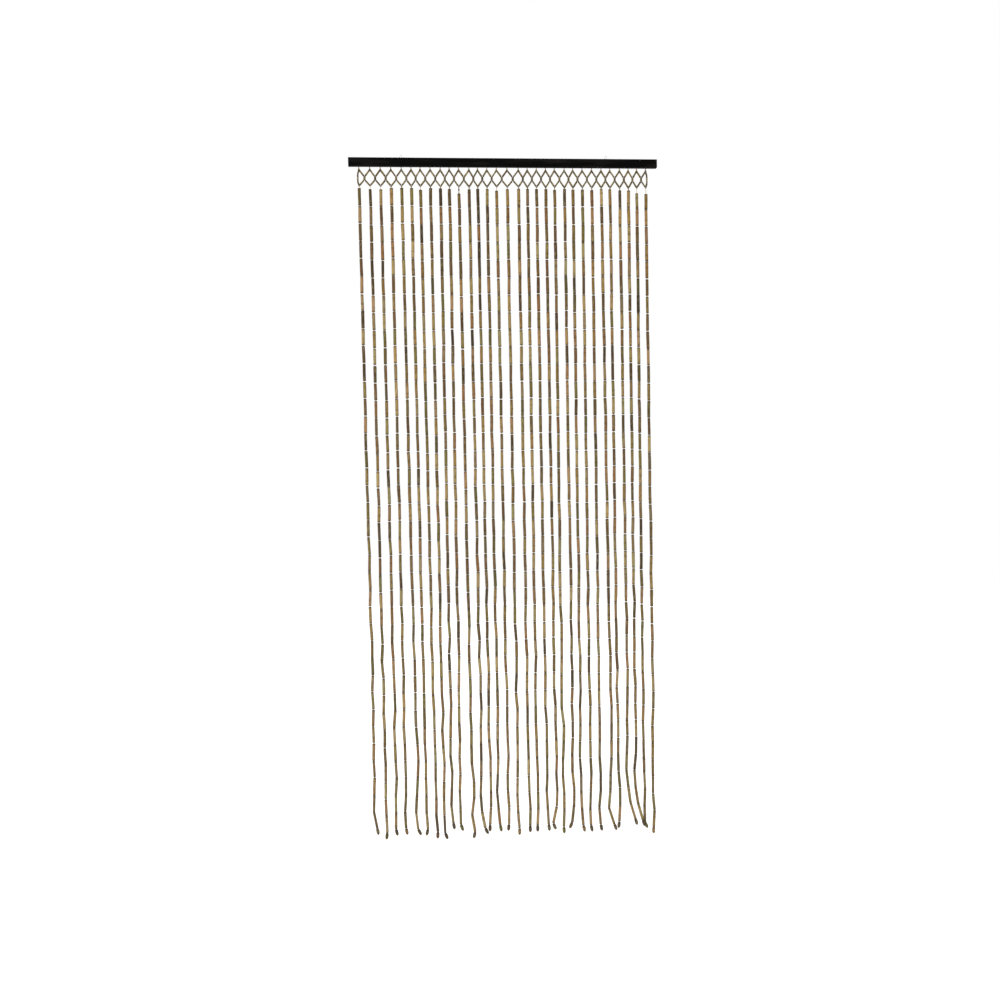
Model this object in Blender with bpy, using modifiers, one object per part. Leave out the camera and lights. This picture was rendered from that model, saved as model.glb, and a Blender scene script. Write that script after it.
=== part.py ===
"""Bamboo door curtain: a black batten with two screw eyes, and a net heading with its strands of bamboo tube.

Metres, +Z up. The origin is the middle of the batten's back face, which lies against the wall.
The curtain's front faces -Y.
"""

import math
import random
from collections import namedtuple

import bmesh
import bpy
from mathutils import Matrix, Vector

# Rail: a painted batten, drilled from below for the cords and from above for the screw eyes
RAIL_WIDTH = 0.900
RAIL_DEPTH = 0.018
RAIL_HEIGHT = 0.024
RAIL_EDGE = 0.0012
RAIL_MIDDLE_Y = -RAIL_DEPTH / 2
RAIL_TOP = RAIL_HEIGHT / 2
RAIL_UNDERSIDE = -RAIL_HEIGHT / 2

# Gap between two pieces that touch, and how far a cutter goes past the face that it opens
SEAT_GAP = 0.0003
OVERSHOOT = 0.002

# Screw eyes, seated on the rail's top with their shanks in blind holes
EYE_FROM_END = 0.151
EYE_WIRE = 0.0016
EYE_RING = 0.0096
EYE_SHANK = 0.0020
EYE_SHANK_DEPTH = 0.0105
EYE_SHANK_TOP = RAIL_TOP + 0.0016
EYE_HOLE = EYE_SHANK + 2 * SEAT_GAP
EYE_HOLE_DEPTH = EYE_SHANK_DEPTH + 0.001
EYE_CENTRE_Z = RAIL_TOP + SEAT_GAP + EYE_RING / 2

# Net heading, as depths below the rail's underside
PITCH = 0.028
CORD = 0.0024
CORD_HOLE = 0.0042
CORD_IN_RAIL = 0.0055
CORD_HOLE_DEPTH = 0.007
LEG = 0.0042
NET_TOP = 0.0093
NET_NECK = 0.0337
NET_NECK_HALF = 0.004
NET_FOOT = 0.0583
NET_SIDE_BOW = 0.0035
NET_SIDE_HALF = 0.011

# Strands: bamboo tubes on a cord, with a bead at the foot. Drop, knee and start are depths below the rail's
# underside, and every tube above the knee hangs plumb but for a slight sway.
TUBE = 0.0080
TUBES_A_STRAND = 37
TUBES_START = 0.063
BEAD = 0.0092
BEAD_LENGTH = 0.017
SHOULDER = 0.0015
LONGEST_DROP = 1.975
KNEE = 1.567
JOINT_SWAY = 0.0006
KNEE_DEPTH_SWAY = 0.0010
FOOT_DEPTH_SWAY = 0.0015
SWAY_SEED = 31

# Above the knee only every fifth joint is a corner of the solid
UPPER_STEP = 5

# One row a strand, from the left, in millimetres. top is how far it hangs off the even pitch. The others
# are measured sideways from its own top: at the knee, at the joints 5, 3 and 1 tubes above its bead, at the
# bead's upper end and at the foot. short is how far its foot ends above the longest one.
Strand = namedtuple("Strand", "top knee five three one bead foot short")
STRANDS = [
    Strand(0, 4, 4, 3, -1, 7, 10, 41),
    Strand(3, 4, 4, 4, 4, 5, 3, 26),
    Strand(5, 5, 4, 7, 3, 1, 5, 35),
    Strand(7, 3, 2, 3, -1, 1, 4, 36),
    Strand(9, 6, 9, 8, 1, 6, 14, 31),
    Strand(9, 3, 3, 4, 3, 6, 2, 30),
    Strand(7, 5, 6, 6, 6, 10, 8, 21),
    Strand(8, 2, 2, 2, 1, 2, 8, 16),
    Strand(9, -3, -6, -2, -7, -2, 0, 45),
    Strand(7, -3, -4, -5, -6, -6, 0, 38),
    Strand(6, 3, 3, 8, 1, 8, 4, 15),
    Strand(8, 2, 1, -1, -1, 8, 16, 26),
    Strand(5, 2, 1, 3, 2, -1, -2, 32),
    Strand(4, 0, -2, -3, -3, 1, 4, 31),
    Strand(4, 0, 0, -2, 1, 0, -3, 32),
    Strand(7, -1, -1, -3, -4, 0, 0, 18),
    Strand(12, -3, -3, -3, 0, -2, -1, 24),
    Strand(10, -2, -3, -2, -2, -5, -5, 25),
    Strand(9, -2, 0, 0, -1, 1, 3, 25),
    Strand(8, 0, 1, 0, -1, -12, -5, 27),
    Strand(6, -5, -3, -7, -4, -6, -6, 15),
    Strand(7, -3, -3, -7, -4, -10, -17, 28),
    Strand(4, -4, -7, -5, -5, -1, 3, 16),
    Strand(4, -4, -4, -3, -8, -7, -3, 16),
    Strand(4, -3, -4, -2, -8, -5, -1, 16),
    Strand(4, 4, 4, 0, -6, 9, 16, 14),
    Strand(2, -2, -2, -3, 0, -4, -5, 24),
    Strand(3, 0, -2, -7, 4, 18, 23, 27),
    Strand(1, -3, -2, -10, 0, 14, 19, 24),
    Strand(-2, -4, -5, -4, -4, -3, 4, 15),
    Strand(-3, -1, -3, -5, -1, -4, -5, 0),
]

# Strands whose feet meet a neighbour's, by number from the left, and how far behind the curtain's plane each
# foot hangs, in metres, so that one passes in front of the other
FOOT_DEPTHS = {12: -0.006, 13: 0.004, 26: 0.004, 27: -0.006, 28: 0.003, 29: -0.004, 30: 0.004}

Joint = namedtuple("Joint", "x y z width")


def clear_scene():
    for obj in list(bpy.data.objects):
        bpy.data.objects.remove(obj, do_unlink=True)


def make_collection(name):
    collection = bpy.data.collections.new(name)
    bpy.context.scene.collection.children.link(collection)
    return collection


def make_material(name, colour, roughness, metallic=0.0):
    material = bpy.data.materials.new(name)
    material.use_nodes = True
    shader = material.node_tree.nodes["Principled BSDF"]
    shader.inputs["Base Color"].default_value = (*colour, 1.0)
    shader.inputs["Roughness"].default_value = roughness
    shader.inputs["Metallic"].default_value = metallic
    material.diffuse_color = (*colour, 1.0)
    return material


def object_from(bm, name, collection, material=None):
    mesh = bpy.data.meshes.new(name)
    bm.to_mesh(mesh)
    bm.free()
    obj = bpy.data.objects.new(name, mesh)
    collection.objects.link(obj)
    if material:
        mesh.materials.append(material)
    return obj


def make_cutter(obj):
    obj.hide_render = True
    obj.display_type = "WIRE"
    return obj


def add_rod(bm, x, z_low, z_high, width, sides):
    """An upright round rod in the rail's middle plane."""
    place = Matrix.Translation((x, RAIL_MIDDLE_Y, (z_low + z_high) / 2))
    bmesh.ops.create_cone(
        bm,
        cap_ends=True,
        segments=sides,
        radius1=width / 2,
        radius2=width / 2,
        depth=z_high - z_low,
        matrix=place,
    )


def strand_top_x(index):
    """Where strand index, counted from 0 at the left, leaves the net."""
    even = (index - (len(STRANDS) - 1) / 2) * PITCH
    return even + STRANDS[index].top / 1000


def eye_xs():
    reach = RAIL_WIDTH / 2 - EYE_FROM_END
    return {"screw_eye_left": -reach, "screw_eye_right": reach}


def make_rail(collection, cutters, material):
    bm = bmesh.new()
    bmesh.ops.create_cube(bm, size=1.0)
    bmesh.ops.scale(bm, vec=Vector((RAIL_WIDTH, RAIL_DEPTH, RAIL_HEIGHT)), verts=bm.verts)
    bmesh.ops.translate(bm, vec=Vector((0, RAIL_MIDDLE_Y, 0)), verts=bm.verts)
    rail = object_from(bm, "rail", collection, material)
    edges = rail.modifiers.new("Worn edges", "BEVEL")
    edges.width = RAIL_EDGE
    edges.segments = 2

    holes = bmesh.new()
    for index in range(len(STRANDS)):
        low = RAIL_UNDERSIDE - OVERSHOOT
        high = RAIL_UNDERSIDE + CORD_HOLE_DEPTH
        add_rod(holes, strand_top_x(index), low, high, CORD_HOLE, 8)
    for x in eye_xs().values():
        low = RAIL_TOP - EYE_HOLE_DEPTH
        high = RAIL_TOP + OVERSHOOT
        add_rod(holes, x, low, high, EYE_HOLE, 10)
    cutter = make_cutter(object_from(holes, "rail_holes", cutters))
    drilled = rail.modifiers.new("Holes", "BOOLEAN")
    drilled.operation = "DIFFERENCE"
    drilled.object = cutter
    return rail


def make_screw_eye(name, x, collection, cutters, material):
    """A ring that faces the front, on a shank that goes down into the rail."""
    bpy.ops.mesh.primitive_torus_add(
        major_segments=20,
        minor_segments=8,
        major_radius=(EYE_RING - EYE_WIRE) / 2,
        minor_radius=EYE_WIRE / 2,
        location=(x, RAIL_MIDDLE_Y, EYE_CENTRE_Z),
        rotation=(math.pi / 2, 0, 0),
    )
    ring = bpy.context.object
    ring.name = name
    for holder in list(ring.users_collection):
        holder.objects.unlink(ring)
    collection.objects.link(ring)
    ring.data.materials.append(material)
    ring.data.shade_smooth()

    bm = bmesh.new()
    add_rod(bm, x, RAIL_TOP - EYE_SHANK_DEPTH, EYE_SHANK_TOP, EYE_SHANK, 10)
    shank = make_cutter(object_from(bm, name + "_shank", cutters))
    joined = ring.modifiers.new("Shank", "BOOLEAN")
    joined.operation = "UNION"
    joined.object = shank
    return ring


def along(stops, value):
    """Reads a value off a table of (place, value) stops, straight between them."""
    for (start, low), (end, high) in zip(stops, stops[1:]):
        if value <= end:
            return low + (high - low) * (value - start) / (end - start)
    return stops[-1][1]


def strand_joints(index):
    """The joints of one strand, from its first tube's upper end to its foot."""
    row = STRANDS[index]
    rng = random.Random(SWAY_SEED + index)
    drop = LONGEST_DROP - row.short / 1000
    bead_top = drop - BEAD_LENGTH
    pitch = (bead_top - TUBES_START) / TUBES_A_STRAND
    sideways = [
        (TUBES_START, 0),
        (KNEE, row.knee),
        (bead_top - 5 * pitch, row.five),
        (bead_top - 3 * pitch, row.three),
        (bead_top - pitch, row.one),
        (bead_top, row.bead),
        (drop, row.foot),
    ]
    knee_depth = rng.uniform(-KNEE_DEPTH_SWAY, KNEE_DEPTH_SWAY)
    foot_depth = FOOT_DEPTHS.get(index + 1, rng.uniform(-FOOT_DEPTH_SWAY, FOOT_DEPTH_SWAY))
    backwards = [(TUBES_START, 0), (KNEE, knee_depth), (bead_top - pitch, foot_depth), (drop, foot_depth)]
    joints = []
    for depth in [TUBES_START + pitch * k for k in range(TUBES_A_STRAND + 1)] + [drop]:
        sway = rng.uniform(-JOINT_SWAY, JOINT_SWAY)
        x = strand_top_x(index) + along(sideways, depth) / 1000 + sway
        y = RAIL_MIDDLE_Y + along(backwards, depth)
        width = BEAD if depth == drop else TUBE
        joints.append(Joint(x, y, RAIL_UNDERSIDE - depth, width))
    return joints


def kept_joints(joints):
    """All joints of the crooked lower part, and every few above it."""
    upper = sum(1 for joint in joints if joint.z > RAIL_UNDERSIDE - KNEE)
    return joints[:upper:UPPER_STEP] + joints[upper:]


class Graph:
    """Points with a width and the runs between them, which the Skin modifier gives four sides."""

    def __init__(self):
        self.points = []
        self.widths = []
        self.runs = []

    def point(self, x, y, z, width):
        self.points.append((x, y, z))
        self.widths.append(width)
        return len(self.points) - 1

    def net_point(self, x, depth, width):
        return self.point(x, RAIL_MIDDLE_Y, RAIL_UNDERSIDE - depth, width)

    def chain(self, *places):
        self.runs.extend(zip(places, places[1:]))


def add_net(graph):
    """The row of diamonds. Returns the point at its foot that each strand hangs from."""
    tops = []
    feet = []
    for index in range(len(STRANDS)):
        x = strand_top_x(index)
        root = graph.net_point(x, -CORD_IN_RAIL, CORD)
        top = graph.net_point(x, NET_TOP, CORD)
        foot = graph.net_point(x, NET_FOOT, CORD)
        graph.chain(root, top)
        tops.append(top)
        feet.append(foot)
    for index in range(len(STRANDS) - 1):
        x = (strand_top_x(index) + strand_top_x(index + 1)) / 2
        upper = graph.net_point(x, NET_NECK - NET_NECK_HALF, LEG)
        lower = graph.net_point(x, NET_NECK + NET_NECK_HALF, LEG)
        graph.chain(tops[index], upper, tops[index + 1])
        graph.chain(feet[index], lower, feet[index + 1])
        graph.chain(upper, lower)
    for index, side in ((0, -1), (len(STRANDS) - 1, 1)):
        x = strand_top_x(index) + side * NET_SIDE_BOW
        upper = graph.net_point(x, NET_NECK - NET_SIDE_HALF, CORD)
        lower = graph.net_point(x, NET_NECK + NET_SIDE_HALF, CORD)
        graph.chain(tops[index], upper, lower, feet[index])
    return feet


def add_strand(graph, index, hang_from):
    joints = kept_joints(strand_joints(index))
    first = joints[0]
    places = [hang_from, graph.point(first.x, first.y, first.z + SHOULDER, CORD)]
    for joint in joints:
        places.append(graph.point(*joint))
    graph.chain(*places)


def make_net_and_strands(collection, material):
    graph = Graph()
    feet = add_net(graph)
    for index, hang_from in enumerate(feet):
        add_strand(graph, index, hang_from)
    mesh = bpy.data.meshes.new("net_and_strands")
    mesh.from_pydata(graph.points, graph.runs, [])
    mesh.materials.append(material)
    curtain = bpy.data.objects.new("net_and_strands", mesh)
    collection.objects.link(curtain)
    skin = curtain.modifiers.new("Tubes", "SKIN")
    skin.branch_smoothing = 0
    for place, width in zip(mesh.skin_vertices[0].data, graph.widths):
        place.radius = (width / 2, width / 2)
    plain = curtain.modifiers.new("Plain runs", "DECIMATE")
    plain.decimate_type = "DISSOLVE"
    plain.angle_limit = math.radians(2)
    return curtain


def main():
    clear_scene()
    parts = make_collection("bamboo_door_curtain")
    cutters = make_collection("cutters")
    paint = make_material("black_paint", (0.012, 0.012, 0.014), 0.45)
    steel = make_material("bright_steel", (0.72, 0.72, 0.70), 0.25, 1.0)
    bamboo = make_material("bamboo", (0.32, 0.24, 0.13), 0.5)
    make_rail(parts, cutters, paint)
    for name, x in eye_xs().items():
        make_screw_eye(name, x, parts, cutters, steel)
    make_net_and_strands(parts, bamboo)


main()
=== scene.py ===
"""Looks of the bamboo door curtain: its batten, screw eyes, net and strands of threaded bamboo tubes.

Metres, +Z up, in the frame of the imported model. The curtain's front faces -Y.
"""

import math
import random
from collections import namedtuple

import bmesh
import bpy
from mathutils import Matrix, Vector


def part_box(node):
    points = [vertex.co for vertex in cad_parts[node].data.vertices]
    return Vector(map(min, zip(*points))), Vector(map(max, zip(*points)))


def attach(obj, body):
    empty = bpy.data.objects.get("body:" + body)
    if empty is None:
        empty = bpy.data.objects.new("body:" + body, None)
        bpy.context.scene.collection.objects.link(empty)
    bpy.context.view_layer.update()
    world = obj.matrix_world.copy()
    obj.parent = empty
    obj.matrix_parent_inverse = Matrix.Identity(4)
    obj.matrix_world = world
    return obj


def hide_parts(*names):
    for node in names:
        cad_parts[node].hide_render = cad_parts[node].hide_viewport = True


# Where the curtain's parts lie, as in the part's source
RAIL_DEPTH = 0.018
RAIL_HEIGHT = 0.024
RAIL_MIDDLE_Y = -RAIL_DEPTH / 2
RAIL_TOP = RAIL_HEIGHT / 2
RAIL_UNDERSIDE = -RAIL_HEIGHT / 2
EYE_WIRE = 0.0016
EYE_RING = 0.0096
EYE_SHANK = 0.0020
EYE_SHANK_DEPTH = 0.0105
SEAT_GAP = 0.0003
EYE_CENTRE_Z = RAIL_TOP + SEAT_GAP + EYE_RING / 2
PITCH = 0.028
CORD_IN_RAIL = 0.0055
NET_TOP = 0.0093
NET_NECK = 0.0337
NET_FOOT = 0.0583
NET_SIDE_BOW = 0.0035
NET_SIDE_HALF = 0.011
TUBES_A_STRAND = 37
TUBES_START = 0.063
BEAD_LENGTH = 0.017
LONGEST_DROP = 1.975
KNEE = 1.567
JOINT_SWAY = 0.0006
KNEE_DEPTH_SWAY = 0.0010
FOOT_DEPTH_SWAY = 0.0015
SWAY_SEED = 31

# One row a strand, from the left, in millimetres, as in the part's source. top is how far it hangs off the
# even pitch. The others are measured sideways from its own top: at the knee, at the joints 5, 3 and 1 tubes
# above its bead, at the bead's upper end and at the foot. short is how far its foot ends above the longest.
Strand = namedtuple("Strand", "top knee five three one bead foot short")
STRANDS = [
    Strand(0, 4, 4, 3, -1, 7, 10, 41),
    Strand(3, 4, 4, 4, 4, 5, 3, 26),
    Strand(5, 5, 4, 7, 3, 1, 5, 35),
    Strand(7, 3, 2, 3, -1, 1, 4, 36),
    Strand(9, 6, 9, 8, 1, 6, 14, 31),
    Strand(9, 3, 3, 4, 3, 6, 2, 30),
    Strand(7, 5, 6, 6, 6, 10, 8, 21),
    Strand(8, 2, 2, 2, 1, 2, 8, 16),
    Strand(9, -3, -6, -2, -7, -2, 0, 45),
    Strand(7, -3, -4, -5, -6, -6, 0, 38),
    Strand(6, 3, 3, 8, 1, 8, 4, 15),
    Strand(8, 2, 1, -1, -1, 8, 16, 26),
    Strand(5, 2, 1, 3, 2, -1, -2, 32),
    Strand(4, 0, -2, -3, -3, 1, 4, 31),
    Strand(4, 0, 0, -2, 1, 0, -3, 32),
    Strand(7, -1, -1, -3, -4, 0, 0, 18),
    Strand(12, -3, -3, -3, 0, -2, -1, 24),
    Strand(10, -2, -3, -2, -2, -5, -5, 25),
    Strand(9, -2, 0, 0, -1, 1, 3, 25),
    Strand(8, 0, 1, 0, -1, -12, -5, 27),
    Strand(6, -5, -3, -7, -4, -6, -6, 15),
    Strand(7, -3, -3, -7, -4, -10, -17, 28),
    Strand(4, -4, -7, -5, -5, -1, 3, 16),
    Strand(4, -4, -4, -3, -8, -7, -3, 16),
    Strand(4, -3, -4, -2, -8, -5, -1, 16),
    Strand(4, 4, 4, 0, -6, 9, 16, 14),
    Strand(2, -2, -2, -3, 0, -4, -5, 24),
    Strand(3, 0, -2, -7, 4, 18, 23, 27),
    Strand(1, -3, -2, -10, 0, 14, 19, 24),
    Strand(-2, -4, -5, -4, -4, -3, 4, 15),
    Strand(-3, -1, -3, -5, -1, -4, -5, 0),
]

# How far behind the curtain's plane a foot hangs that meets a neighbour's, by strand number
FOOT_DEPTHS = {12: -0.006, 13: 0.004, 26: 0.004, 27: -0.006, 28: 0.003, 29: -0.004, 30: 0.004}

# Bamboo tubes. Widths and gaps are (at the top, at the foot) of the curtain. A spread is the share by which a
# measure differs from tube to tube, and CUT_REACH is how far from an end its slant reaches
TUBE_SIDES = 14
TUBE_WIDTH = (0.0091, 0.0081)
WIDTH_SPREAD = 0.07
TUBE_BORE = 0.0032
TUBE_GAP = (0.0021, 0.0014)
GAP_SPREAD = 0.85
JOINT_SHIFT = 0.0014
CHAMFER = 0.00035
TAPER = 0.05
OVAL = 0.035
BOW = 0.00035
ROUGH_CUT = 0.00022
SLANT = 0.06
CUT_REACH = 0.001
SKIN_SHARES = (0.22, 0.5, 0.78)
FLAT_SHARE = 0.35
FLAT_DEPTH = 0.00035
FLAT_POWER = 6
GRAIN_OFF = 3

# Growth rings: a low swell with a scar line under its middle, in a dark band. RIDGE_STEPS are the rings of
# points across it, in RIDGE_HALF
RIDGE_SHARE = 0.42
RIDGE_PLACE = (0.15, 0.85)
RIDGE_HEIGHT = 0.00042
RIDGE_HALF = 0.0013
RIDGE_STEPS = (-2.4, -1.2, -0.5, 0.1, 0.45, 0.7, 0.95, 1.3, 2.4)
RIDGE_SHADE = 0.55
RIDGE_SHADE_HALF = 0.0024
SCAR_DEPTH = 0.00022
SCAR_BELOW = 0.0009
SCAR_HALF = 0.0004

# Seeds of the random draws. A strand's number from the left, less one, is added to the last three
NET_SEED = 7
STRAND_SEED = 700
FOOT_SEED = 7000
LOOSE_SEED = 21000

# How much lower than the others a strand's first tube starts, by strand number, and the range for the rest.
# A strand's upper joints shift with it, by SHIFT_AT_MOST at most and by less and less down the strand
START_SHIFTS = {
    2: 0.0020, 3: 0.0026, 4: -0.0016, 5: -0.0020, 6: -0.0016, 7: 0.0032, 11: 0.0135, 15: 0.0050, 30: 0.0108,
    31: 0.0128,
}
START_SPREAD = (-0.0018, 0.0030)
SHIFT_AT_MOST = 0.0050

# How far a joint may hang to one side of the solids' line, as (depth below the rail, reach). The joints that
# STRANDS places keep to the line. They are named by how many tubes they are above the bead
LOOSE_SWAY = [(0.0, 0.0), (0.70, 0.0004), (1.20, 0.0014), (1.55, 0.0025), (2.00, 0.0034)]
PLACED_JOINTS = (5, 3, 1)

# A small loose bead that shows above one strand's first tube
LOOSE_BEAD_STRAND = 11
LOOSE_BEAD = 0.0050
LOOSE_BEAD_BORE = 0.0018

# Thin tubes and shared beads of the net. LEG_GAPS is the range by which a gap beside a thin tube is scaled
LEG_WIDTH = 0.0051
LEG_BORE = 0.0024
LEG_SPREAD = 0.08
LEG_GAPS = (0.85, 1.2)
LEG_RIDGE_SHARE = 0.1
LEG_BOW = 0.0001
NET_SIDES = 12
GAP_AT_KNOT = 0.0026
GAP_AT_NECK = 0.0012
GAP_AT_SIDE = 0.0003
NECK_WIDTH = 0.0064
NECK_BORE = 0.0048
NECK_HALF = 0.0054
NECK_CORD_OFF = 0.0013

# The net's feet are gathered up by FOOT_RISE, at the left and at the right, give or take FOOT_SWAY. Below
# them the strands of SINGLE_CORDS show only their own cord, and the rest show the net's two cords. Each of
# the two lies off the middle by a share of its width, and by a little less where it enters the first tube
FOOT_RISE = (0.0030, 0.0002)
FOOT_SWAY = 0.0008
SINGLE_CORDS = {1, 2, 3, 7, 15, 19, 30, 31}
TWIN_OFF = 0.45
TWIN_OFF_IN_TUBE = 0.9

# Cord of two plies, and its knots, each (wide, high). CORD_PLIES is how round and how waisted the cord is
CORD_WIDTH = 0.0022
NET_CORD_WIDTH = 0.0017
CORD_SIDES = 8
CORD_PLIES = (0.74, 0.26)
CORD_LAY = 0.006
CORD_STEP = 0.0009
CORD_HIDDEN_BY = 0.0012
KNOT_TURNS = 3.0
KNOT_SIDES = 6
KNOT_STEPS = 10
KNOT_BULGE = (0.8, 0.2)
TOP_KNOT = (0.0066, 0.0052)
FOOT_KNOT = (0.0056, 0.0040)
END_KNOT = (0.0046, 0.0038)

# End beads: turned barrels, each with a knot under it
BARREL_GAP = 0.0014
BARREL_LENGTH = 0.0158
BARREL_WIDTH = 0.0096
BARREL_END_WIDTH = 0.0074
BARREL_BORE = 0.0024
BARREL_SIDES = 16
BARREL_STEPS = 8
BARREL_FULLNESS = 0.7
KNOT_BELOW_BEAD = 0.0016

# Colours as they show in daylight, red, green and blue from 0 to 255, and how common each is
Tone = namedtuple("Tone", "name red green blue share")
TUBE_TONES = [
    Tone("olive", 106, 93, 39, 13),
    Tone("khaki", 121, 97, 44, 18),
    Tone("straw", 141, 113, 57, 9),
    Tone("tan", 129, 96, 46, 16),
    Tone("clay", 126, 85, 46, 12),
    Tone("rose brown", 110, 77, 44, 9),
    Tone("grey brown", 102, 80, 44, 9),
    Tone("moss", 90, 84, 36, 4),
    Tone("umber", 78, 53, 27, 8),
    Tone("dark", 50, 36, 19, 8),
]
NET_TONES = [
    Tone("olive", 101, 90, 48, 10),
    Tone("pale olive", 117, 104, 60, 6),
    Tone("grey brown", 98, 83, 46, 6),
    Tone("moss", 86, 82, 42, 2),
]
BEAD_TONES = [
    Tone("grey", 82, 73, 58, 10),
    Tone("brown", 92, 69, 46, 6),
    Tone("olive", 88, 88, 46, 4),
    Tone("tan", 130, 102, 64, 3),
]
CORD_TONE = Tone("jute", 206, 182, 128, 1)
NET_CORD_TONE = Tone("waxed jute", 106, 91, 46, 1)

# A tone is mixed with some black or some of a pale colour, up to its spread, and warmed or cooled a little.
# Further down the curtain more of a faded colour goes into it, up to FADED_AT_FOOT
BLACK = (0, 0, 0)
PALE = (214, 198, 158)
FADED = (138, 128, 106)
TUBE_SPREAD = 0.36
TONE_SPREAD = 0.18
WARM_SPREAD = 0.04
FADED_AT_FOOT = 0.34

# Colours within the finishes, as light from 0 to 1
CUT_WOOD = (0.42, 0.32, 0.18)
CUT_PORES = (0.16, 0.10, 0.045)
DARK_FIBRES = (0.050, 0.029, 0.009)
PALE_FIBRES = (0.36, 0.26, 0.12)
DARK_STAINS = (0.066, 0.036, 0.011)
PALE_STAINS = (0.30, 0.22, 0.085)
SPECKS = (0.03, 0.02, 0.01)
WORN_ENDS = (0.036, 0.023, 0.010)
SCARS = (0.03, 0.018, 0.008)
# Painted shade: darkens the cord where its fibre bump is low
CORD_HOLLOWS_PAINTED_SHADE = (0.080, 0.060, 0.034)
CORD_GRIME = (0.090, 0.066, 0.038)
PAINT = (0.0008, 0.0008, 0.0009)
PAINT_ON_GRAIN = (0.0030, 0.0027, 0.0025)
# Lighter streaks on the paint: part dusting, part a painted sheen
PAINT_DUST_AND_SHEEN = (0.0100, 0.0088, 0.0078)
PAINT_CHIPS = (0.04, 0.025, 0.014)
STEEL = (0.74, 0.74, 0.72)
DULL_STEEL = (0.50, 0.50, 0.49)
STUDIO_WHITE = (0.92, 0.92, 0.92, 1.0)
WHITE = (1.0, 1.0, 1.0, 1.0)

# Screw eyes: a ring that is open by a little, and a shank whose rings of points lie at SHANK_SHARES of its
# height, which ends SHANK_SHORT below the ring. Its tip is TIP_SHARE as thick as the rest, and TIP_TAPER is
# how fast it thickens from there
EYE_SIDES = 12
EYE_STEPS = 44
EYE_TURN = math.radians(338)
SHANK_SHARES = (0.0, 0.15, 0.35, 0.6, 0.85)
SHANK_SHORT = 0.0012
TIP_SHARE = 0.2
TIP_TAPER = 4

# The photograph's camera and a plain bright studio
CAMERA_PLACE = (-0.42, -3.50, -0.8393)
CAMERA_YAW = math.radians(6.336)
CAMERA_PITCH = math.radians(-2.25)
CAMERA_ROLL = math.radians(-1.14)
CAMERA_LENS = 43.2
CAMERA_SENSOR = 36.0
CAMERA_REACH = 60.0
FLOOR_Z = -2.03
FLOOR_SIZE = 12.0
FLOOR_GLOW = 0.3
LIGHT_PLACE = (-2.4, -3.0, 1.2)
LIGHT_AIM = (0, 0, -0.9)
LIGHT_SIZE = 1.8
LIGHT_POWER = 90

Joint = namedtuple("Joint", "place depth")
Ring = namedtuple("Ring", "along radius cut edge scar")


def strand_top_x(index):
    """Where strand index, counted from 0 at the left, leaves the net."""
    even = (index - (len(STRANDS) - 1) / 2) * PITCH
    return even + STRANDS[index].top / 1000


def along(stops, value):
    """Reads a value off a table of (place, value) stops, straight between them."""
    for (start, low), (end, high) in zip(stops, stops[1:]):
        if value <= end:
            return low + (high - low) * (value - start) / (end - start)
    return stops[-1][1]


def strand_joints(index):
    """The joints of one strand, from its first tube's upper end to its foot, as in the part's source."""
    row = STRANDS[index]
    rng = random.Random(SWAY_SEED + index)
    drop = LONGEST_DROP - row.short / 1000
    bead_top = drop - BEAD_LENGTH
    pitch = (bead_top - TUBES_START) / TUBES_A_STRAND
    sideways = [
        (TUBES_START, 0),
        (KNEE, row.knee),
        (bead_top - 5 * pitch, row.five),
        (bead_top - 3 * pitch, row.three),
        (bead_top - pitch, row.one),
        (bead_top, row.bead),
        (drop, row.foot),
    ]
    knee_depth = rng.uniform(-KNEE_DEPTH_SWAY, KNEE_DEPTH_SWAY)
    foot_depth = FOOT_DEPTHS.get(index + 1, rng.uniform(-FOOT_DEPTH_SWAY, FOOT_DEPTH_SWAY))
    backwards = [(TUBES_START, 0), (KNEE, knee_depth), (bead_top - pitch, foot_depth), (drop, foot_depth)]
    joints = []
    for depth in [TUBES_START + pitch * k for k in range(TUBES_A_STRAND + 1)] + [drop]:
        sway = rng.uniform(-JOINT_SWAY, JOINT_SWAY)
        x = strand_top_x(index) + along(sideways, depth) / 1000 + sway
        y = RAIL_MIDDLE_Y + along(backwards, depth)
        joints.append(Joint(Vector((x, y, RAIL_UNDERSIDE - depth)), depth))
    return joints


def at_depth(pair, depth):
    """A value between the one at the curtain's top and the one at its foot."""
    return pair[0] + (pair[1] - pair[0]) * depth / LONGEST_DROP


def net_place(x, depth):
    return Vector((x, RAIL_MIDDLE_Y, RAIL_UNDERSIDE - depth))


def linear(value):
    """A display value from 0 to 255 as the light that it stands for."""
    value = value / 255
    return value / 12.92 if value <= 0.04045 else ((value + 0.055) / 1.055) ** 2.4


def blend(first, second, share):
    return tuple(one + (other - one) * share for one, other in zip(first, second))


def pick_tone(tones, rng, spread=TONE_SPREAD, fade=0.0):
    """One of the tones by its share, warmer or cooler and paler or darker than its middle, and faded."""
    tone = rng.choices(tones, weights=[tone.share for tone in tones])[0]
    warm = 1 + rng.uniform(-WARM_SPREAD, WARM_SPREAD)
    light = spread * rng.uniform(-1, 1)
    parts = (tone.red * warm, tone.green, tone.blue / warm)
    parts = blend(parts, PALE if light > 0 else BLACK, abs(light))
    return tuple(linear(part) for part in blend(parts, FADED, fade))


def square_to(direction, near=Vector((1, 0, 0))):
    """Two unit vectors square to a direction and to each other, the first as close to near as can be."""
    side = (near - direction * near.dot(direction)).normalized()
    return side, direction.cross(side)


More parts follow.
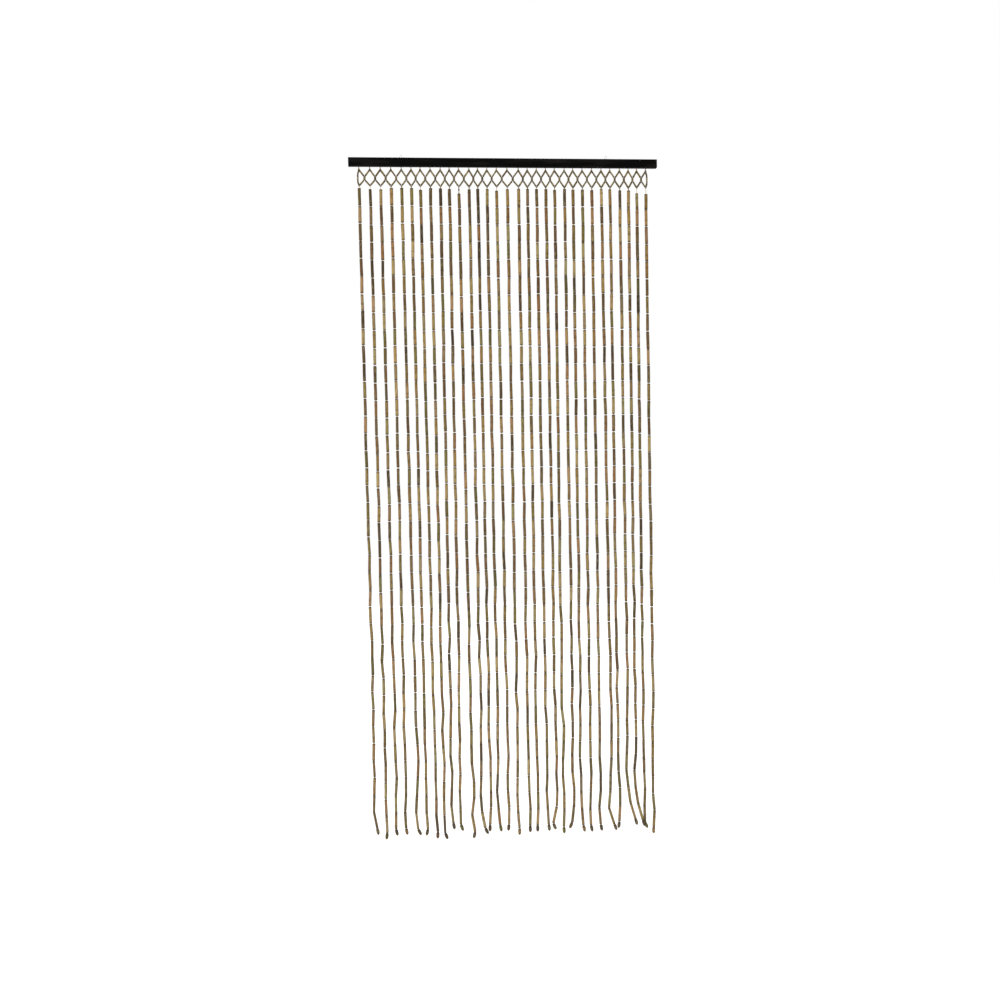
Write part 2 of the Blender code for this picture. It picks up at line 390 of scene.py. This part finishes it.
class Piece:
    """A mesh in the making, with what its material reads at each point."""

    def __init__(self):
        self.points = []
        self.faces = []
        self.tones = []
        self.grains = []
        self.cuts = []
        self.edges = []
        self.scars = []

    def point(self, place, tone, grain, cut=0.0, edge=1.0, scar=0.0):
        """edge is the distance along the tube to its nearest end."""
        self.points.append(place)
        self.tones.append(tone)
        self.grains.append(grain)
        self.cuts.append(cut)
        self.edges.append(edge)
        self.scars.append(scar)
        return len(self.points) - 1

    def wall(self, rings, closed):
        """Faces between rings of points. A closed wall runs back from the last ring to the first."""
        pairs = list(zip(rings, rings[1:]))
        if closed:
            pairs.append((rings[-1], rings[0]))
        for upper, lower in pairs:
            for k in range(len(upper)):
                after = (k + 1) % len(upper)
                self.faces.append((upper[k], upper[after], lower[after], lower[k]))

    def cap(self, ring):
        self.faces.append(tuple(ring))

    def build(self, name, material, sharp=40):
        mesh = bpy.data.meshes.new(name)
        mesh.from_pydata(self.points, [], self.faces)
        bm = bmesh.new()
        bm.from_mesh(mesh)
        bmesh.ops.recalc_face_normals(bm, faces=bm.faces)
        bm.to_mesh(mesh)
        bm.free()
        tone = mesh.attributes.new("tone", "FLOAT_COLOR", "POINT")
        tone.data.foreach_set("color", [part for colour in self.tones for part in (*colour, 1.0)])
        grain = mesh.attributes.new("grain", "FLOAT_VECTOR", "POINT")
        grain.data.foreach_set("vector", [part for place in self.grains for part in place])
        for title, values in (("cut", self.cuts), ("edge", self.edges), ("scar", self.scars)):
            mesh.attributes.new(title, "FLOAT", "POINT").data.foreach_set("value", values)
        mesh.materials.append(material)
        mesh.shade_smooth()
        mesh.set_sharp_from_angle(angle=math.radians(sharp))
        obj = bpy.data.objects.new(name, mesh)
        bpy.context.scene.collection.objects.link(obj)
        return obj


def ridge_at(distance):
    """How far a growth ring stands out at this distance from its middle, with the scar line under it."""
    swell = RIDGE_HEIGHT * math.exp(-((distance / RIDGE_HALF) ** 2))
    scar = math.exp(-(((distance - SCAR_BELOW) / SCAR_HALF) ** 2))
    shade = RIDGE_SHADE * math.exp(-((distance / RIDGE_SHADE_HALF) ** 2))
    return swell - SCAR_DEPTH * scar, max(scar, shade)


def tube_rings(length, radius, bore, chamfer, ridge):
    """The closed outline of a tube's wall, from the bore's upper end over the skin to its lower end."""
    skin = [chamfer, *(share * length for share in SKIN_SHARES), length - chamfer]
    if ridge is not None:
        skin += [ridge + step * RIDGE_HALF for step in RIDGE_STEPS]
    rings = [Ring(0.0, bore, 1.0, 0.0, 0.0), Ring(0.0, radius - chamfer, 1.0, 0.0, 0.0)]
    for place in sorted(skin):
        swell, scar = (0.0, 0.0) if ridge is None else ridge_at(place - ridge)
        rings.append(Ring(place, radius + swell, 0.0, min(place, length - place), scar))
    rings += [Ring(length, radius - chamfer, 1.0, 0.0, 0.0), Ring(length, bore, 1.0, 0.0, 0.0)]
    return rings


def add_tube(piece, start, end, width, bore, tone, rng, sides=TUBE_SIDES, ridged=RIDGE_SHARE, bow=BOW):
    """One cut length of bamboo: hollow, not quite round, with rough cut ends, and on some a growth ring."""
    down = (end - start).normalized()
    length = (end - start).length
    radius = width / 2
    turn = rng.uniform(0, 2 * math.pi)
    across, ahead = square_to(down)
    side = across * math.cos(turn) + ahead * math.sin(turn)
    front = ahead * math.cos(turn) - across * math.sin(turn)
    taper = rng.uniform(-TAPER, TAPER)
    oval = rng.uniform(0, OVAL)
    slants = [rng.uniform(-SLANT, SLANT) for _ in range(2)]
    lean = side * rng.uniform(-bow, bow)
    ridge = rng.uniform(*RIDGE_PLACE) * length if rng.random() < ridged else None
    flat = FLAT_DEPTH * rng.random() if rng.random() < FLAT_SHARE else 0.0
    grain_off = [rng.uniform(0, GRAIN_OFF) for _ in range(3)]
    rings = []
    for ring in tube_rings(length, radius, bore / 2, min(CHAMFER, radius / 6), ridge):
        share = ring.along / length
        in_bore = ring.radius <= bore / 2
        grow = 1.0 if in_bore else 1 + taper * (share - 0.5)
        centre = start + down * ring.along + lean * 4 * share * (1 - share)
        at_end = ring.along in (0.0, length)
        slant = slants[0] if share < 0.5 else slants[1]
        points = []
        for k in range(sides):
            angle = 2 * math.pi * k / sides
            c = math.cos(angle)
            s = math.sin(angle)
            out = ring.radius * grow
            if not in_bore:
                out *= 1 + oval * math.cos(2 * angle)
                out -= flat * max(0.0, c) ** FLAT_POWER
            shift = slant * c * out
            if at_end and not in_bore:
                out -= rng.uniform(0, ROUGH_CUT)
                shift += rng.uniform(-ROUGH_CUT, ROUGH_CUT)
            if not (at_end or ring.edge < CUT_REACH):
                shift = 0.0
            place = centre + side * (c * out) + front * (s * out) + down * shift
            grain = (c * out + grain_off[0], s * out + grain_off[1], ring.along + grain_off[2])
            points.append(piece.point(place, tone, grain, ring.cut, ring.edge, ring.scar))
        rings.append(points)
    piece.wall(rings, closed=True)


def add_barrel(piece, start, down, length, width, end_width, bore, tone, rng):
    """A turned bead with a hole through it."""
    side, front = square_to(down)
    grain_off = [rng.uniform(0, GRAIN_OFF) for _ in range(3)]
    outline = [Ring(0.0, bore / 2, 1.0, 0.0, 0.0)]
    for k in range(BARREL_STEPS + 1):
        share = k / BARREL_STEPS
        crown = math.sin(math.pi * share) ** BARREL_FULLNESS if 0 < share < 1 else 0.0
        radius = (end_width + (width - end_width) * crown) / 2
        distance = min(share, 1 - share) * length
        outline.append(Ring(share * length, radius, 0.0, distance, 0.0))
    outline.append(Ring(length, bore / 2, 1.0, 0.0, 0.0))
    rings = []
    for ring in outline:
        points = []
        for k in range(BARREL_SIDES):
            angle = 2 * math.pi * k / BARREL_SIDES
            c = math.cos(angle) * ring.radius
            s = math.sin(angle) * ring.radius
            place = start + down * ring.along + (side * c + front * s)
            grain = (c + grain_off[0], s + grain_off[1], ring.along + grain_off[2])
            points.append(piece.point(place, tone, grain, ring.cut, ring.edge))
        rings.append(points)
    piece.wall(rings, closed=True)


def add_sweep(piece, places, outline, turns, tone, near=Vector((1, 0, 0))):
    """A solid along a line of places. outline gives each side's radius, turns each place's angle."""
    rings = []
    travelled = 0.0
    side = near
    for k, place in enumerate(places):
        before = places[max(k - 1, 0)]
        after = places[min(k + 1, len(places) - 1)]
        travelled += (place - before).length
        side, front = square_to((after - before).normalized(), side)
        points = []
        for j, radius in enumerate(outline):
            angle = 2 * math.pi * j / len(outline) + turns[k]
            across = side * (math.cos(angle) * radius) + front * (math.sin(angle) * radius)
            around = 2 * math.pi * j / len(outline)
            grain = (math.cos(around) * radius, math.sin(around) * radius, travelled)
            points.append(piece.point(place + across, tone, grain))
        rings.append(points)
    piece.wall(rings, closed=False)
    piece.cap(rings[0])
    piece.cap(rings[-1])


def two_ply_outline(width):
    """Radii round a cord of two plies that lie side by side."""
    full, waist = CORD_PLIES
    return [width / 2 * (full + waist * math.cos(4 * math.pi * j / CORD_SIDES)) for j in range(CORD_SIDES)]


def stepped(start, end, step):
    """Places from start, in even steps, to just before end."""
    count = max(1, round((end - start).length / step))
    return [start.lerp(end, k / count) for k in range(count)]


def add_cord(piece, stretches, tone, width=CORD_WIDTH):
    """A twisted cord along stretches of (start, end, shows). A stretch that shows has its plies wound."""
    places = []
    turns = []
    turn = 0.0
    for start, end, shows in stretches:
        new = stepped(start, end, CORD_STEP) if shows else [start]
        step = (end - start).length / len(new)
        for place in new:
            places.append(place)
            turns.append(turn)
            if shows:
                turn += 2 * math.pi * step / CORD_LAY
    places.append(stretches[-1][1])
    turns.append(turn)
    add_sweep(piece, places, two_ply_outline(width), turns, tone)


def add_knot(piece, centre, size, tone, rng, cord=CORD_WIDTH):
    """A cord wound round itself to a size of (wide, high)."""
    wide, high = size
    steps = round(KNOT_TURNS * KNOT_STEPS)
    reach = (wide - cord) / 2
    first = rng.uniform(0, 2 * math.pi)
    places = []
    for k in range(steps + 1):
        angle = first + 2 * math.pi * KNOT_TURNS * k / steps
        rise = (high - cord) * (0.5 - k / steps)
        bulge = reach * (KNOT_BULGE[0] + KNOT_BULGE[1] * math.sin(math.pi * k / steps))
        places.append(centre + Vector((bulge * math.cos(angle), bulge * math.sin(angle), rise)))
    above, _ = square_to((places[1] - places[0]).normalized(), Vector((0, 0, 1)))
    add_sweep(piece, places, [cord / 2] * KNOT_SIDES, [0.0] * len(places), tone, above)


def tube_ends(index, rng):
    """Upper and lower end of each tube of a strand."""
    joints = strand_joints(index)
    places = [joint.place for joint in joints[:-1]]
    last = len(places) - 1
    start = START_SHIFTS.get(index + 1, rng.uniform(*START_SPREAD))
    drift = min(start, SHIFT_AT_MOST) + rng.uniform(-JOINT_SHIFT, JOINT_SHIFT)
    for k in range(1, last):
        direction = (places[k + 1] - places[k]).normalized()
        shift = drift * (1 - k / last) + rng.uniform(-JOINT_SHIFT, JOINT_SHIFT)
        places[k] = places[k] + direction * shift
    sway_rng = random.Random(LOOSE_SEED + index)
    for k in range(1, last):
        if last - k not in PLACED_JOINTS:
            reach = along(LOOSE_SWAY, joints[k].depth)
            places[k] = places[k] + Vector((sway_rng.uniform(-reach, reach), 0, 0))
    ends = []
    for k, (upper, lower) in enumerate(zip(places, places[1:])):
        gap = at_depth(TUBE_GAP, joints[k].depth)
        down = (lower - upper).normalized()
        above = gap / 2 * (1 + rng.uniform(-GAP_SPREAD, GAP_SPREAD))
        below = gap / 2 * (1 + rng.uniform(-GAP_SPREAD, GAP_SPREAD))
        if k == 0:
            above = start
        ends.append((upper + down * above, lower - down * below, joints[k].depth))
    return ends, joints[-2].place, joints[-1].place


def make_strand(index, material, cords):
    """The tubes and the end bead of one strand as one piece. Its cord and knot are added to cords."""
    rng = random.Random(STRAND_SEED + index)
    piece = Piece()
    ends, bead_top, foot = tube_ends(index, rng)
    for upper, lower, depth in ends:
        width = at_depth(TUBE_WIDTH, depth) * (1 + rng.uniform(-WIDTH_SPREAD, WIDTH_SPREAD))
        tone = pick_tone(TUBE_TONES, rng, TUBE_SPREAD, at_depth((0, FADED_AT_FOOT), depth))
        add_tube(piece, upper, lower, width, TUBE_BORE, tone, rng)
    down = (foot - bead_top).normalized()
    barrel_start = bead_top + down * BARREL_GAP
    tone = pick_tone(BEAD_TONES, rng)
    widths = (BARREL_WIDTH, BARREL_END_WIDTH)
    add_barrel(piece, barrel_start, down, BARREL_LENGTH, *widths, BARREL_BORE, tone, rng)
    if index + 1 == LOOSE_BEAD_STRAND:
        start = net_place(strand_top_x(index), TUBES_START)
        tone = pick_tone(TUBE_TONES, rng)
        widths = (LOOSE_BEAD, LOOSE_BEAD / 2)
        add_barrel(piece, start, Vector((0, 0, -1)), LOOSE_BEAD, *widths, LOOSE_BEAD_BORE, tone, rng)

    cord_tone = pick_tone([CORD_TONE], rng)
    knot_centre = barrel_start + down * (BARREL_LENGTH + KNOT_BELOW_BEAD)
    stretches = []
    here = net_foot(index) if index + 1 in SINGLE_CORDS else None
    for upper, lower, _ in ends:
        into = (lower - upper).normalized() * CORD_HIDDEN_BY
        if here:
            stretches.append((here, upper + into, True))
        stretches.append((upper + into, lower - into, False))
        here = lower - into
    stretches.append((here, barrel_start + down * CORD_HIDDEN_BY, True))
    stretches.append((barrel_start + down * CORD_HIDDEN_BY, knot_centre, False))
    add_cord(cords, stretches, cord_tone)
    add_knot(cords, knot_centre, END_KNOT, cord_tone, rng)
    return piece.build(f"strand_{index + 1:02d}", material)


def neck_between(index):
    return (strand_top_x(index) + strand_top_x(index + 1)) / 2


def net_foot(index):
    """Where the net's two cords meet over a strand."""
    share = index / (len(STRANDS) - 1)
    rise = FOOT_RISE[0] + (FOOT_RISE[1] - FOOT_RISE[0]) * share
    sway = random.Random(FOOT_SEED + index).uniform(-FOOT_SWAY, FOOT_SWAY)
    return net_place(strand_top_x(index), NET_FOOT - rise + sway)


def side_path(index, side):
    """The four places that one of a strand's two cords passes in the net, from top knot to foot knot."""
    top = net_place(strand_top_x(index), NET_TOP)
    foot = net_foot(index)
    neighbour = index + side
    if 0 <= neighbour < len(STRANDS):
        x = neck_between(min(index, neighbour)) - side * NECK_CORD_OFF
        half = NECK_HALF
    else:
        x = strand_top_x(index) + side * NET_SIDE_BOW
        half = NET_SIDE_HALF
    return [top, net_place(x, NET_NECK - half), net_place(x, NET_NECK + half), foot]


def add_leg(piece, start, end, gaps, rng):
    """A thin bamboo tube on the cord between two places, with a gap of about this length at each end."""
    down = (end - start).normalized()
    width = LEG_WIDTH * (1 + rng.uniform(-LEG_SPREAD, LEG_SPREAD))
    upper = start + down * gaps[0] * rng.uniform(*LEG_GAPS)
    lower = end - down * gaps[1] * rng.uniform(*LEG_GAPS)
    tone = pick_tone(NET_TONES, rng)
    add_tube(piece, upper, lower, width, LEG_BORE, tone, rng, NET_SIDES, LEG_RIDGE_SHARE, LEG_BOW)


def make_net(bamboo, cords):
    """The thin tubes and shared beads of the net as one piece. Its cords and knots are added to cords."""
    rng = random.Random(NET_SEED)
    piece = Piece()
    last = len(STRANDS) - 1
    for index in range(len(STRANDS)):
        tone = pick_tone([NET_CORD_TONE], rng)
        root = net_place(strand_top_x(index), -CORD_IN_RAIL)
        top = net_place(strand_top_x(index), NET_TOP)
        foot = net_foot(index)
        into_tube = START_SHIFTS.get(index + 1, START_SPREAD[1]) + CORD_HIDDEN_BY
        below = net_place(strand_top_x(index), TUBES_START + into_tube)
        for side in (-1, 1):
            path = side_path(index, side)
            off = Vector((side * NET_CORD_WIDTH * TWIN_OFF, 0, 0))
            runs = [root + off, top + off, *path[1:3], foot + off]
            if index + 1 not in SINGLE_CORDS:
                runs.append(below + off * TWIN_OFF_IN_TUBE)
            add_cord(cords, [(a, b, True) for a, b in zip(runs, runs[1:])], tone, NET_CORD_WIDTH)
            outer = index + side in (-1, last + 1)
            waist = GAP_AT_SIDE if outer else GAP_AT_NECK
            add_leg(piece, path[0], path[1], (GAP_AT_KNOT, waist), rng)
            add_leg(piece, path[2], path[3], (waist, GAP_AT_KNOT), rng)
            if outer:
                add_leg(piece, path[1], path[2], (waist, waist), rng)
        add_knot(cords, top, TOP_KNOT, tone, rng, NET_CORD_WIDTH)
        add_knot(cords, foot, FOOT_KNOT, tone, rng, NET_CORD_WIDTH)
    for index in range(last):
        x = neck_between(index)
        upper = net_place(x, NET_NECK - NECK_HALF)
        lower = net_place(x, NET_NECK + NECK_HALF)
        tone = pick_tone(NET_TONES, rng)
        add_tube(piece, upper, lower, NECK_WIDTH, NECK_BORE, tone, rng, NET_SIDES, ridged=0.0, bow=0.0)
    return piece.build("net_tubes", bamboo)


def make_screw_eye(name, x, material):
    """A wire ring that ends just short of its shank, whose lower end tapers to a point in the wood."""
    piece = Piece()
    reach = (EYE_RING - EYE_WIRE) / 2
    centre = Vector((x, RAIL_MIDDLE_Y, EYE_CENTRE_Z))
    tip = RAIL_TOP - EYE_SHANK_DEPTH
    neck = EYE_CENTRE_Z - reach
    thick = []
    places = []
    for share in SHANK_SHARES:
        places.append(Vector((x, RAIL_MIDDLE_Y, tip + (neck - SHANK_SHORT - tip) * share)))
        thick.append(EYE_SHANK / 2 * min(1.0, TIP_SHARE + TIP_TAPER * share))
    for k in range(EYE_STEPS + 1):
        angle = -math.pi / 2 + EYE_TURN * k / EYE_STEPS
        places.append(centre + Vector((reach * math.cos(angle), 0, reach * math.sin(angle))))
        thick.append(EYE_WIRE / 2)
    rings = []
    side = Vector((0, 1, 0))
    for k, place in enumerate(places):
        before = places[max(k - 1, 0)]
        after = places[min(k + 1, len(places) - 1)]
        side, front = square_to((after - before).normalized(), side)
        points = []
        for j in range(EYE_SIDES):
            angle = 2 * math.pi * j / EYE_SIDES
            across = (side * math.cos(angle) + front * math.sin(angle)) * thick[k]
            points.append(piece.point(place + across, STEEL, tuple(place + across)))
        rings.append(points)
    piece.wall(rings, closed=False)
    piece.cap(rings[0])
    piece.cap(rings[-1])
    return piece.build(name, material)


class Finish:
    """A material's nodes, made and joined by short calls."""

    def __init__(self, name):
        self.material = bpy.data.materials.new(name)
        self.material.use_nodes = True
        self.nodes = self.material.node_tree.nodes
        self.links = self.material.node_tree.links
        self.shader = self.nodes["Principled BSDF"]

    def set(self, socket, value):
        self.shader.inputs[socket].default_value = value

    def feed(self, socket, source):
        self.links.new(source, self.shader.inputs[socket])

    def attribute(self, name, output="Fac"):
        node = self.nodes.new("ShaderNodeAttribute")
        node.attribute_name = name
        return node.outputs[output]

    def place(self):
        return self.nodes.new("ShaderNodeTexCoord").outputs["Object"]

    def noise(self, vector, scale, detail=2.0, roughness=0.5):
        """Noise with a scale of its own along each axis, in repeats a metre."""
        stretch = self.nodes.new("ShaderNodeVectorMath")
        stretch.operation = "MULTIPLY"
        self.links.new(vector, stretch.inputs[0])
        stretch.inputs[1].default_value = scale
        node = self.nodes.new("ShaderNodeTexNoise")
        node.inputs["Scale"].default_value = 1.0
        node.inputs["Detail"].default_value = detail
        node.inputs["Roughness"].default_value = roughness
        self.links.new(stretch.outputs[0], node.inputs["Vector"])
        return node.outputs["Fac"]

    def spread(self, value, low, high, to_low=0.0, to_high=1.0):
        """Maps low to high onto to_low to to_high, and holds at the ends."""
        node = self.nodes.new("ShaderNodeMapRange")
        self.links.new(value, node.inputs["Value"])
        numbers = {"From Min": low, "From Max": high, "To Min": to_low, "To Max": to_high}
        for socket, number in numbers.items():
            node.inputs[socket].default_value = number
        return node.outputs["Result"]

    def maths(self, operation, first, second):
        node = self.nodes.new("ShaderNodeMath")
        node.operation = operation
        for socket, value in zip(node.inputs, (first, second)):
            if isinstance(value, (int, float)):
                socket.default_value = value
            else:
                self.links.new(value, socket)
        return node.outputs[0]

    def mix(self, share, first, second):
        """Mixes two colours. Each is a colour or comes from a node."""
        node = self.nodes.new("ShaderNodeMix")
        node.data_type = "RGBA"
        sockets = {socket.identifier: socket for socket in node.inputs}
        for title, value in (("Factor_Float", share), ("A_Color", first), ("B_Color", second)):
            socket = sockets[title]
            if isinstance(value, (int, float)):
                socket.default_value = value
            elif isinstance(value, tuple):
                socket.default_value = (*value, 1.0)
            else:
                self.links.new(value, socket)
        return {socket.identifier: socket for socket in node.outputs}["Result_Color"]

    def bump(self, height, strength, distance):
        node = self.nodes.new("ShaderNodeBump")
        node.inputs["Strength"].default_value = strength
        node.inputs["Distance"].default_value = distance
        self.links.new(height, node.inputs["Height"])
        self.feed("Normal", node.outputs["Normal"])


def bamboo_finish(name):
    """Dry bamboo: fine fibres along the tube, stains and specks, dark worn edges and pale cut ends."""
    finish = Finish(name)
    tone = finish.attribute("tone", "Color")
    grain = finish.attribute("grain", "Vector")
    cut = finish.attribute("cut")
    fibres = finish.noise(grain, (2600, 2600, 70), detail=3.0, roughness=0.6)
    stains = finish.noise(grain, (240, 240, 60), detail=3.0, roughness=0.6)
    specks = finish.noise(grain, (1500, 1500, 700), detail=1.0)
    pores = finish.noise(grain, (3800, 3800, 300), detail=1.0)
    worn = finish.spread(finish.attribute("edge"), 0.0006, 0.0056, 0.85, 0.0)
    scar = finish.spread(finish.attribute("scar"), 0.2, 1.0, 0.0, 0.75)
    colour = finish.mix(finish.spread(fibres, 0.35, 0.62, 0.0, 0.36), tone, DARK_FIBRES)
    colour = finish.mix(finish.spread(fibres, 0.60, 0.72, 0.0, 0.35), colour, PALE_FIBRES)
    colour = finish.mix(finish.spread(stains, 0.52, 0.68, 0.0, 0.7), colour, DARK_STAINS)
    colour = finish.mix(finish.spread(stains, 0.46, 0.32, 0.0, 0.45), colour, PALE_STAINS)
    colour = finish.mix(finish.spread(specks, 0.70, 0.76, 0.0, 0.7), colour, SPECKS)
    colour = finish.mix(worn, colour, WORN_ENDS)
    colour = finish.mix(scar, colour, SCARS)
    cut_wood = finish.mix(finish.spread(pores, 0.45, 0.65), CUT_WOOD, CUT_PORES)
    colour = finish.mix(finish.spread(cut, 0.55, 0.95), colour, cut_wood)
    finish.feed("Base Color", colour)
    rough_skin = finish.spread(fibres, 0.3, 0.7, 0.40, 0.60)
    rough_cut = finish.spread(cut, 0.4, 1.0, 0.0, 0.32)
    finish.feed("Roughness", finish.maths("ADD", rough_skin, rough_cut))
    finish.set("Specular IOR Level", 0.12)
    relief = finish.maths("SUBTRACT", fibres, finish.spread(specks, 0.68, 0.76, 0.0, 0.3))
    finish.bump(relief, 0.5, 0.00025)
    return finish.material


def cord_finish():
    """Jute cord with fine fibres, with shade painted into the hollows between them, and grubby here and
    there.
    """
    finish = Finish("cord_fibre")
    grain = finish.attribute("grain", "Vector")
    tone = finish.attribute("tone", "Color")
    fibres = finish.noise(grain, (5000, 5000, 1400), detail=2.0)
    grime = finish.noise(finish.place(), (60, 60, 35), detail=2.0)
    # Painted shade: the fibres' low places, where the bump sinks, are darkened
    colour = finish.mix(finish.spread(fibres, 0.40, 0.65, 0.45, 0.0), tone, CORD_HOLLOWS_PAINTED_SHADE)
    colour = finish.mix(finish.spread(grime, 0.55, 0.72, 0.0, 0.4), colour, CORD_GRIME)
    finish.feed("Base Color", colour)
    finish.feed("Roughness", finish.spread(fibres, 0.3, 0.7, 0.75, 0.95))
    finish.set("Specular IOR Level", 0.15)
    finish.bump(fibres, 0.5, 0.0003)
    return finish.material


def paint_finish():
    """Black satin paint on a planed batten, its grain showing through, with streaks of dusting and painted
    sheen.
    """
    finish = Finish("black_paint_worn")
    place = finish.place()
    grain = finish.noise(place, (14, 900, 900), detail=4.0, roughness=0.6)
    # Lighter streaks, part dusting and part painted sheen on the black paint
    dust_and_sheen = finish.noise(place, (9, 60, 60), detail=3.0)
    chips = finish.noise(place, (260, 420, 420), detail=2.0)
    colour = finish.mix(finish.spread(grain, 0.4, 0.7), PAINT, PAINT_ON_GRAIN)
    colour = finish.mix(finish.spread(dust_and_sheen, 0.48, 0.72, 0.0, 0.7), colour, PAINT_DUST_AND_SHEEN)
    colour = finish.mix(finish.spread(chips, 0.74, 0.78, 0.0, 0.5), colour, PAINT_CHIPS)
    finish.feed("Base Color", colour)
    finish.feed("Roughness", finish.spread(grain, 0.3, 0.7, 0.68, 0.86))
    finish.set("Specular IOR Level", 0.03)
    finish.bump(grain, 0.35, 0.0003)
    return finish.material


def steel_finish():
    """Zinc-plated steel wire, drawn and a little dull."""
    finish = Finish("bright_steel_wire")
    place = finish.place()
    dull = finish.noise(place, (700, 700, 700), detail=3.0)
    drawn = finish.noise(place, (2400, 2400, 600), detail=2.0)
    finish.feed("Base Color", finish.mix(finish.spread(dull, 0.4, 0.65), STEEL, DULL_STEEL))
    finish.feed("Roughness", finish.spread(dull, 0.35, 0.7, 0.22, 0.45))
    finish.set("Metallic", 1.0)
    finish.bump(drawn, 0.2, 0.0001)
    return finish.material


def white_finish():
    finish = Finish("studio_white")
    finish.set("Base Color", STUDIO_WHITE)
    finish.set("Roughness", 0.9)
    finish.set("Specular IOR Level", 0.1)
    finish.set("Emission Color", WHITE)
    finish.set("Emission Strength", FLOOR_GLOW)
    return finish.material


def make_floor():
    bm = bmesh.new()
    bmesh.ops.create_grid(bm, x_segments=2, y_segments=2, size=FLOOR_SIZE / 2)
    bmesh.ops.translate(bm, vec=Vector((0, 0, FLOOR_Z)), verts=bm.verts)
    mesh = bpy.data.meshes.new("floor")
    bm.to_mesh(mesh)
    bm.free()
    mesh.materials.append(white_finish())
    floor = bpy.data.objects.new("floor", mesh)
    bpy.context.scene.collection.objects.link(floor)


def add_area_light(name, place, aim, size, power):
    light = bpy.data.lights.new(name, "AREA")
    light.shape = "SQUARE"
    light.size = size
    light.energy = power
    lamp = bpy.data.objects.new(name, light)
    lamp.location = place
    lamp.rotation_euler = (Vector(aim) - Vector(place)).to_track_quat("-Z", "Y").to_euler()
    bpy.context.scene.collection.objects.link(lamp)


def make_studio():
    """A white surround that lights everything evenly, a soft light from the front left, and the floor."""
    world = bpy.data.worlds.new("studio")
    bpy.context.scene.world = world
    world.use_nodes = True
    surround = world.node_tree.nodes["Background"]
    surround.inputs["Color"].default_value = WHITE
    surround.inputs["Strength"].default_value = 1.0
    bpy.context.scene.view_settings.view_transform = "Standard"
    add_area_light("key", LIGHT_PLACE, LIGHT_AIM, LIGHT_SIZE, LIGHT_POWER)
    make_floor()


def make_camera():
    camera = bpy.data.cameras.new("camera")
    camera.lens = CAMERA_LENS
    camera.sensor_width = CAMERA_SENSOR
    camera.clip_end = CAMERA_REACH
    forward = Vector((
        math.sin(CAMERA_YAW) * math.cos(CAMERA_PITCH),
        math.cos(CAMERA_YAW) * math.cos(CAMERA_PITCH),
        math.sin(CAMERA_PITCH),
    ))
    level = Vector((math.cos(CAMERA_YAW), -math.sin(CAMERA_YAW), 0))
    above = level.cross(forward)
    right = level * math.cos(CAMERA_ROLL) + above * math.sin(CAMERA_ROLL)
    up = above * math.cos(CAMERA_ROLL) - level * math.sin(CAMERA_ROLL)
    holder = bpy.data.objects.new("camera", camera)
    turned = Matrix((right, up, -forward)).transposed().to_4x4()
    holder.matrix_world = Matrix.Translation(CAMERA_PLACE) @ turned
    bpy.context.scene.collection.objects.link(holder)
    bpy.context.scene.camera = holder


def put_on(piece, slot, *nodes):
    """Makes a piece ride on the curtain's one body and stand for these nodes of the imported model."""
    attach(piece, "root")
    if nodes:
        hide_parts(*nodes)


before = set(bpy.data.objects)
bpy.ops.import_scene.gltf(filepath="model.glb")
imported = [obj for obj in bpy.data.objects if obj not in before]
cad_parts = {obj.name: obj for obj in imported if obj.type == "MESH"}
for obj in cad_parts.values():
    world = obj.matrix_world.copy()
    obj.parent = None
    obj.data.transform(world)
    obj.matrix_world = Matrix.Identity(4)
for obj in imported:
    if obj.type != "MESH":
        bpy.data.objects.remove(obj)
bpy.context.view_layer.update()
make_camera()
make_studio()

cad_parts["rail"].data.materials.clear()
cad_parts["rail"].data.materials.append(paint_finish())

steel = steel_finish()
for eye in ("screw_eye_left", "screw_eye_right"):
    low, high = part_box(eye)
    put_on(make_screw_eye(eye.replace("screw_", "wire_"), (low.x + high.x) / 2, steel), "bright_steel", eye)

bamboo = bamboo_finish("bamboo_dry")
cord_piece = Piece()
for number in range(len(STRANDS)):
    put_on(make_strand(number, bamboo, cord_piece), "bamboo", "net_and_strands")
net_cord_piece = Piece()
put_on(make_net(bamboo, net_cord_piece), "bamboo", "net_and_strands")
cord_material = cord_finish()
put_on(cord_piece.build("strand_cords", cord_material, sharp=80), "bamboo", "net_and_strands")
put_on(net_cord_piece.build("net_cords", cord_material, sharp=80), "bamboo", "net_and_strands")
